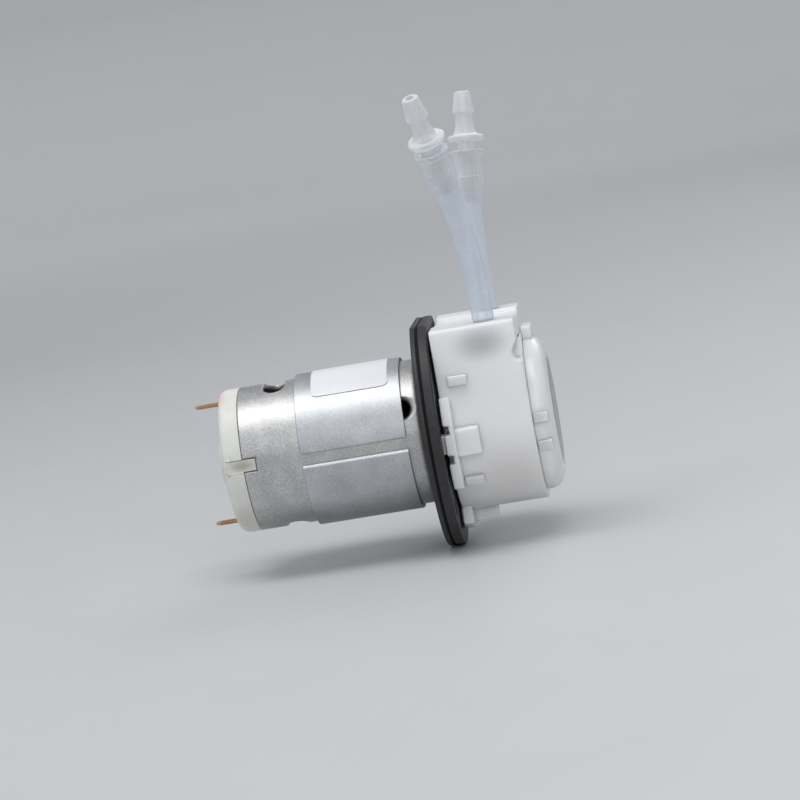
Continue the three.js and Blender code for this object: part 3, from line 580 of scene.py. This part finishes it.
def end_bell():
    rim = CAN_REAR - 0.12
    bell = lathe("end_cap", soften([
        (-33.6, CAN_INNER - 0.15, 0.1), (rim, CAN_INNER - 0.15, 0.05),
        (rim, CAN_RADIUS, 0.12), (BELL_REAR, CAN_RADIUS, 1.7), (BELL_REAR, 5.2, 0.2), (HUB_REAR, 4.8, 0.35),
        (HUB_REAR, 1.9, 0.2), (-38.9, 1.9, 0.05), (-38.9, 3.1, 0.05),
        (-36.7, 3.1, 0.05), (-36.7, 4.6, 0.1), (-37, 4.6, 0.05), (-37, 12.1, 0.2), (-33.6, 12.1, 0.1),
    ], steps=6), sides=144)
    cutters = []
    tabs = []
    for side in (-1, 1):
        middle = side * TERMINAL_HEIGHT
        cutters.append(block("slot", (-40, -36), (-1.5, 1.5), (middle - 0.37, middle + 0.37)))
        ys = sorted((side * (CAN_INNER + 0.1), side * CAN_RADIUS))
        tabs.append(block("tab", (-36.4, CAN_REAR + 2.35), ys, (TAB_LOW, TAB_HIGH)))
        ys = sorted((side * (CAN_RADIUS - 0.3), side * (CAN_RADIUS + 1)))
        cutters.append(block("groove", (-38.2, CAN_REAR + 3), ys, (TAB_LOW - 0.01, TAB_HIGH + 0.01)))
    for angle in (30, 150, 210, 330):
        turn = math.radians(angle)
        centre = (0, DIMPLE_ORBIT * math.cos(turn), DIMPLE_ORBIT * math.sin(turn))
        profile = [(-40, 0), (-40, DIMPLE_RADIUS), (-38.6, DIMPLE_RADIUS), (-38.6, 0)]
        cutters.append(lathe("dimple", profile, 32, False, centre))
    combine(bell, tabs, "UNION")
    combine(bell, cutters, "DIFFERENCE")
    round_edges(bell, 0.13, 2)
    fit(bell, ROOT, "nylon", NYLON, "motor_end_bell")


RING_REAR, RING_FRONT, RING_RADIUS = -23.8, -3.55, 14.6
RING_HALF_SLIT = 1.15
LABEL_SPAN, LABEL_TURNS = (-20.5, -5.8), (-16, 132)


def flux_ring():
    inner = CAN_RADIUS + 0.04
    from_angle = 180 + math.degrees(math.asin(RING_HALF_SLIT / RING_RADIUS))
    to_angle = 540 - math.degrees(math.asin(RING_HALF_SLIT / RING_RADIUS))
    slope = 1.9                    # degrees over which the outer face runs down to the slit
    turn = math.radians(from_angle)
    outline = [((inner + 0.3) * math.cos(turn), (inner + 0.3) * math.sin(turn))]
    outline += arc(RING_RADIUS, from_angle + slope, to_angle, 140)
    outline += list(reversed(arc(inner, from_angle + 0.2, to_angle - 0.2, 140)))
    ring = prism("ring_band", outline, RING_REAR, RING_FRONT)
    round_edges(ring, 0.13, 2, 30)
    fit(ring, ROOT, "zinc_steel", RING, "flux_ring")


def wrapped_sheet(name, span, turns, inner, outer, corner):
    """A thin sheet round the motor with rounded corners. Turns run from +Y towards +Z, in degrees."""
    (x0, x1), (start, end) = span, turns
    middle = (inner + outer) / 2
    half_x, half_a = (x1 - x0) / 2, math.radians(end - start) / 2 * middle
    columns = 90
    points, faces = [], []
    for column in range(columns + 1):
        a = -half_a + 2 * half_a * column / columns
        inset = max(0.0, corner - (half_a - abs(a)))
        reach = half_x - corner + math.sqrt(max(corner ** 2 - inset ** 2, 0)) if inset > 0 else half_x
        turn = math.radians((start + end) / 2) + a / middle
        for radius in (inner, outer):
            for x in (-reach, reach):
                points.append(((x0 + x1) / 2 + x, radius * math.cos(turn), radius * math.sin(turn)))
    for column in range(columns):
        p, q = column * 4, column * 4 + 4
        faces += [(p, q, q + 1, p + 1), (p + 2, p + 3, q + 3, q + 2)]
        faces += [(p, p + 2, q + 2, q), (p + 1, q + 1, q + 3, p + 3)]
    last = columns * 4
    faces += [(0, 1, 3, 2), (last, last + 2, last + 3, last + 1)]
    obj = mesh_object(name, points, faces, smooth=False)
    face_outward(obj)
    obj.data.shade_smooth()
    obj.data.set_sharp_from_angle(angle=math.radians(40))
    return obj


def motor_label():
    inner = RING_RADIUS + 0.03
    film = wrapped_sheet("label_film_sheet", LABEL_SPAN, LABEL_TURNS, inner, inner + 0.12, 1.0)
    fit(film, ROOT, "label_film", LABEL, "motor_label")


BLADE = [(-35.9, -1.4), (-35.9, 1.4), (-43.2, 1.4), (-43.8, 1.0), (-44.0, 0.6), (-44.0, -0.6), (-43.8, -1.0),
         (-43.2, -1.4)]
BLADE_HALF = 0.25                  # half of a terminal's thickness
EYE_X, EYE_RADIUS = -42.3, 0.6


def terminals():
    for word, side in (("upper", 1), ("lower", -1)):
        height = side * TERMINAL_HEIGHT
        blade = prism(f"blade_{word}", BLADE, height - BLADE_HALF, height + BLADE_HALF, "Z")
        eye = prism("eye", circle(EYE_X, 0, EYE_RADIUS, 28), height - 1, height + 1, "Z")
        combine(blade, [eye], "DIFFERENCE")
        round_edges(blade, 0.07, 2, 50)
        fit(blade, ROOT, "brass", BRASS, f"terminal_{word}")


motor_can()
end_bell()
flux_ring()
motor_label()
terminals()

# ---------------------------------------------------------------- mounting plate

PLATE_RADIUS, PLATE_TOP, PLATE_THICK = 22.6, 20.8, 3.3
GROOVE = (1.1, 1.35)
LATCH_TURNS = (3.3, 90, 176.7)     # of the three latches, from the near side down and round
HEAD_SEAT_RADIUS = 2.8             # of the counterbores for the screw heads
PLATE_HOLE_OFFSET = 13.6           # of the two mounting holes from the shaft, along Y and down Z


def flat_top_disc(radius, top, steps=150):
    corner = math.degrees(math.asin(top / radius))
    return arc(radius, 180 - corner, 360 + corner, steps)


def mounting_plate():
    plate = prism("flange_plate", flat_top_disc(PLATE_RADIUS, PLATE_TOP), 0, PLATE_THICK)
    rim = prism("rim", flat_top_disc(PLATE_RADIUS + 2, PLATE_TOP + 2), *GROOVE)
    core = prism("core", flat_top_disc(PLATE_RADIUS - 0.35, PLATE_TOP - 0.35), 0.5, 2)
    combine(rim, [core], "DIFFERENCE")
    cutters = [rim, lathe("boss_hole", [(-1, 0), (-1, 5.15), (5, 5.15), (5, 0)], 72, False)]
    for side in (-1, 1):
        for x0, radius in ((-1, HOLE_RADIUS), (1, HEAD_SEAT_RADIUS)):
            profile = [(x0, 0), (x0, radius), (5, radius), (5, 0)]
            cutters.append(lathe("screw_hole", profile, 40, False, (0, side * SCREW_OFFSET, 0)))
        hole = [(-1, 0), (-1, HOLE_RADIUS), (5, HOLE_RADIUS), (5, 0)]
        cutters.append(lathe("hole", hole, 40, False, (0, side * PLATE_HOLE_OFFSET, -PLATE_HOLE_OFFSET)))
    for turn in LATCH_TURNS:
        cutters.append(block("pocket", (2.2, 5), (-19.2, -15.2), (-2.8, 2.8), turn))
    combine(plate, cutters, "DIFFERENCE")
    round_edges(plate, 0.35, 3, 30)
    fit(plate, ROOT, "black_plastic", BLACK, "mounting_plate")


def plate_screws():
    for word, side in (("near", -1), ("far", 1)):
        screw = lathe(f"pan_screw_{word}", soften([
            (-2.8, 0), (-2.8, 1.3, 0.3), (1.1, 1.3, 0.05), (1.1, 2.4, 0.1), (2.2, 2.4, 0.5), (2.8, 1.5, 0.6),
            (2.8, 0),
        ], closed=False), 48, False, (0, side * SCREW_OFFSET, 0))
        middle = side * SCREW_OFFSET
        slots = [block("cross", (2.2, 4), (middle - 0.3, middle + 0.3), (-1.5, 1.5)),
                 block("cross", (2.2, 4), (middle - 1.5, middle + 1.5), (-0.3, 0.3))]
        combine(screw, slots, "DIFFERENCE")
        round_edges(screw, 0.06, 2, 45)
        fit(screw, ROOT, "bright_steel", STEEL, f"motor_screw_{word}")


mounting_plate()
plate_screws()

# ---------------------------------------------------------------- pump head

HEAD_REAR, HEAD_FRONT, HEAD_RADIUS, HEAD_HALF, HEAD_TOP = 3.85, 20.3, 16.35, 15.2, 19.95
RIB_RADIUS, RIB_HALF = 19.8, 26.5
TUBE_PLANE, TUBE_OFFSET, EXIT_RADIUS = 14.1, 10.4, 2.3     # x and y of the hose exits, and their radius
CAVITY_RADIUS = 12.6
BLOCK_FRONT = 19.8
BLOCK_CUT = [(BLOCK_FRONT, 21.5), (BLOCK_FRONT, 15.9), (18.9, 14.6), (18.5, 13.3), (19.2, 12.2), (22, 11.6),
             (22, 21.5)]           # (x, z) outline of what the square hose block leaves free of the round rim


def head_outline(corner=0.7):
    """Flat top, sides that lean in a little and a round bottom that runs into them."""
    reach = math.hypot(HEAD_HALF, HEAD_TOP)
    tangent = math.degrees(math.atan2(HEAD_TOP, HEAD_HALF) - math.acos(HEAD_RADIUS / reach))
    outline = arc(HEAD_RADIUS, 180 - tangent, 360 + tangent, 120)
    for middle_y, start in ((HEAD_HALF - corner, 0), (corner - HEAD_HALF, 90)):
        for step in range(9):
            turn = math.radians(start + 90 * step / 8)
            outline.append((middle_y + corner * math.cos(turn), HEAD_TOP - corner + corner * math.sin(turn)))
    return outline


def turned_outline(outline, turn):
    angle = math.radians(turn)
    return [(y * math.cos(angle) - z * math.sin(angle), y * math.sin(angle) + z * math.cos(angle))
            for y, z in outline]


def latch(turn):
    """A rib with the snap latch in its middle, as separate closed shells."""
    rib = arc(RIB_RADIUS, 180 - RIB_HALF, 180 + RIB_HALF, 36)
    rib += list(reversed(arc(HEAD_RADIUS - 1, 180 - RIB_HALF, 180 + RIB_HALF, 36)))
    ribs = prism("rib", turned_outline(rib, turn), HEAD_REAR, 5.75)
    notches = [block("notch", (HEAD_REAR - 1, HEAD_REAR + 1), (-RIB_RADIUS - 1, -HEAD_RADIUS - 0.1),
                     sorted((side * 1.95, side * 3.65)), turn) for side in (-1, 1)]
    combine(ribs, notches, "DIFFERENCE")
    return [ribs, block("latch", (5.4, 10.2), (-18.65, 1 - HEAD_RADIUS), (-2.55, 2.55), turn),
            block("hook", (2.7, 5.6), (-18.65, 0.3 - HEAD_RADIUS), (-1.75, 1.75), turn)]


def pump_housing():
    housing = prism("head_housing", head_outline(), HEAD_REAR, HEAD_FRONT)
    cutters = [
        lathe("cavity", [(5.9, 0), (5.9, CAVITY_RADIUS), (21, CAVITY_RADIUS), (21, 0)], 120, False),
        lathe("rear_hole", [(2.6, 0), (2.6, 3.4), (7, 3.4), (7, 0)], 60, False),
        block("band", (2.6, 21), (-7.2, 7.2), (HEAD_TOP - 0.6, HEAD_TOP + 1)),
    ]
    for side in (-1, 1):
        ys = sorted((side * 8.2, side * 12.65))
        cutters.append(block("channel", (TUBE_PLANE - 3, TUBE_PLANE + 3), ys, (0, HEAD_TOP - 2.2)))
        exit_ring = circle(TUBE_PLANE, side * TUBE_OFFSET, EXIT_RADIUS, 48)
        cutters.append(prism("exit", exit_ring, HEAD_TOP - 3, HEAD_TOP + 3, "Z"))
    rim = lathe("rim", [(15, 0), (15, HEAD_RADIUS), (23, HEAD_RADIUS), (23, 0)], 230, False)
    cutters.append(combine(prism("block_front", BLOCK_CUT, -20, 20, "Y"), [rim], "DIFFERENCE"))
    combine(housing, cutters, "DIFFERENCE")
    seat, seat_top = PLATE_THICK + 0.15, HEAD_REAR + 0.5
    shells = [lathe("seat_ring", [(seat, 12.4), (seat, 13.8), (seat_top, 13.8), (seat_top, 12.4)], 96)]
    for turn in LATCH_TURNS:
        shells += latch(turn)
    for side in (-1, 1):
        shells.append(block("nub", (5.9, 9.5), sorted((side * 16.6, side * 14.6)), (9.35, 11.25)))
        ys = sorted((side * (HEAD_RADIUS + 0.9), side * (HEAD_RADIUS - 1)))
        shells.append(block("nub", (5.9, 9.5), ys, (-0.95, 0.95), -side * 32.5))
    join_shells(housing, shells)
    round_edges(housing, 0.28, 3, 32)
    fit(housing, HEAD, "white_plastic", WHITE, "pump_housing")


COVER_RADIUS, COVER_FRONT = 14.8, 24.2
COVER_EDGE, COVER_FACE = 21.4, 10.9          # where the cover's round edge starts and ends
BADGE_RADIUS = 10.4


def front_cover():
    rear, inner = HEAD_FRONT + 0.03, COVER_FRONT - 1.8
    profile = soften([
        (17.75, 0), (17.75, 1.1, 0.2), (inner, 1.1, 0.3), (inner, 11.2, 0.3), (19.1, 11.2, 0.1),
        (19.1, 12.4, 0.15), (rear, 12.4, 0.05), (rear, COVER_RADIUS, 0.25), (COVER_EDGE, COVER_RADIUS, 0),
    ], closed=False)
    for step in range(1, 17):
        turn = math.radians(90 * step / 16)
        profile.append((COVER_EDGE + (COVER_FRONT - COVER_EDGE) * math.sin(turn),
                        COVER_FACE + (COVER_RADIUS - COVER_FACE) * math.cos(turn)))
    profile += [(COVER_FRONT, BADGE_RADIUS + 0.2), (COVER_FRONT - 0.08, BADGE_RADIUS + 0.06),
                (COVER_FRONT - 0.4, BADGE_RADIUS + 0.05), (COVER_FRONT - 0.4, 0)]
    cover = lathe("front_cap", profile, 144, False)
    tab = block("tab", (rear, 22.2), (-3.2, 3.2), (13, 16.9))
    combine(tab, [block("window", (rear - 1, 21.6), (-1.6, 1.6), (15, 16))], "DIFFERENCE")
    shells = [tab]
    for angle in (-3.2, 17.7, 183.2, 162.3):
        ys = (-COVER_RADIUS - 0.4, 1 - COVER_RADIUS)
        shells.append(block("pad", (20.5, 23.2), ys, (-0.95, 0.95), angle))
    join_shells(cover, shells)
    round_edges(cover, 0.2, 3, 34)
    fit(cover, HEAD, "white_plastic", COVER, "front_cover")
    disc = lathe("badge_disc", soften([
        (COVER_FRONT - 0.36, 0), (COVER_FRONT - 0.36, BADGE_RADIUS - 0.1, 0.05),
        (COVER_FRONT - 0.05, BADGE_RADIUS - 0.1, 0.15), (COVER_FRONT - 0.05, 0),
    ], closed=False), 144, False)
    fit(disc, HEAD, "badge_film", BADGE, "cover_badge")


pump_housing()
front_cover()

# ---------------------------------------------------------------- turning pieces

ORBIT, ROLLER_RADIUS, PIN_RADIUS = 6.6, 4.1, 0.9


def roller_drive():
    sleeve = lathe("steel_sleeve", soften([(9, 1.2), (9, 2.4, 0.25), (17.2, 2.4, 0.25), (17.2, 1.2)]), 64)
    fit(sleeve, ROTOR, "bright_steel", STEEL, "drive_sleeve")
    shaft = lathe("round_shaft", soften([
        (-38.7, 0), (-38.7, SHAFT_RADIUS, 0.2), (17.4, SHAFT_RADIUS, 0.25), (17.4, 0),
    ], closed=False), 48, False)
    fit(shaft, ROTOR, "bright_steel", STEEL, "motor_shaft")
    for index, angle in enumerate((90, 210, 330), 1):
        centre = (0, ORBIT * math.cos(math.radians(angle)), ORBIT * math.sin(math.radians(angle)))
        roller = lathe(f"smooth_roller_{index}", soften([
            (8.6, 1.02, 0.1), (8.6, ROLLER_RADIUS, 0.35), (17.5, ROLLER_RADIUS, 0.35), (17.5, 1.02, 0.1),
        ]), 72, True, centre)
        fit(roller, f"roller_{index}", "roller_plastic", DARK_ROLLER, f"roller_{index}")
        pin = lathe(f"smooth_pin_{index}", soften([
            (6.9, 0), (6.9, PIN_RADIUS, 0.15), (18.85, PIN_RADIUS, 0.15), (18.85, 0),
        ], closed=False), 32, False, centre)
        fit(pin, CAGE, "bright_steel", STEEL, f"roller_pin_{index}")


roller_drive()

# ---------------------------------------------------------------- CAD nodes that stay

KEPT = {
    "brush_arm_upper": COPPER, "brush_arm_lower": COPPER, "commutator": COPPER,
    "armature_winding_1": COPPER, "armature_winding_2": COPPER, "armature_winding_3": COPPER,
    "carbon_brush_upper": CARBON, "carbon_brush_lower": CARBON,
    "field_magnet_upper": FERRITE, "field_magnet_lower": FERRITE,
    "front_bearing": BRONZE, "rear_bearing": BRONZE, "armature_core": CORE,
    "roller_cage_rear": CAGE_WHITE, "roller_cage_front": CAGE_WHITE, "pump_tube_loop": SILICONE,
}
for node, material in KEPT.items():
    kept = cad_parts[node]
    for material_slot in kept.material_slots:
        material_slot.material = material

# ---------------------------------------------------------------- floor and light

FLOOR_HEIGHT = -22.65


def studio():
    floor = lathe("floor", [(0, 0), (0, 1500), (150, 2300), (600, 2900), (1500, 3200)], 96, False)
    turn = Matrix.Rotation(-math.pi / 2, 4, "Y")
    floor.data.transform(Matrix.Translation((0, 0, FLOOR_HEIGHT * MM)) @ turn)
    paint = finish("floor_paint", (0.585, 0.59, 0.595), (0.60, 0.605, 0.61), (0.5, 0.55),
                   clouds=3, grain=40, bump=0.0)
    dress(floor, paint)
    world = bpy.data.worlds.new("world")
    bpy.context.scene.world = world
    world.use_nodes = True
    background = world.node_tree.nodes["Background"]
    background.inputs["Color"].default_value = (0.9, 0.93, 1.0, 1)
    background.inputs["Strength"].default_value = 0.46

    def area(name, place, aim, size, power):
        light = bpy.data.lights.new(name, "AREA")
        light.shape = "RECTANGLE"
        light.size, light.size_y = size
        light.energy = power
        obj = bpy.data.objects.new(name, light)
        bpy.context.scene.collection.objects.link(obj)
        obj.location = place
        obj.rotation_euler = (Vector(aim) - Vector(place)).to_track_quat("-Z", "Y").to_euler()

    area("top", (-0.06, -0.16, 0.7), (0, 0, 0), (0.8, 0.35), 3.0)
    area("front", (0.2, -0.95, 0.4), (0, 0, 0.01), (0.6, 0.5), 1.9)
    area("left", (-0.7, -0.4, 0.3), (0, 0, 0.01), (0.3, 0.5), 0.5)
    area("back", (0.3, 0.7, 0.45), (0, 0, 0.02), (0.5, 0.3), 0.9)
    area("backdrop", (-0.2, 1.1, 1.1), (-0.4, 3.2, 0.1), (1.8, 0.9), 8)
    bpy.context.scene.view_settings.view_transform = "Standard"


studio()
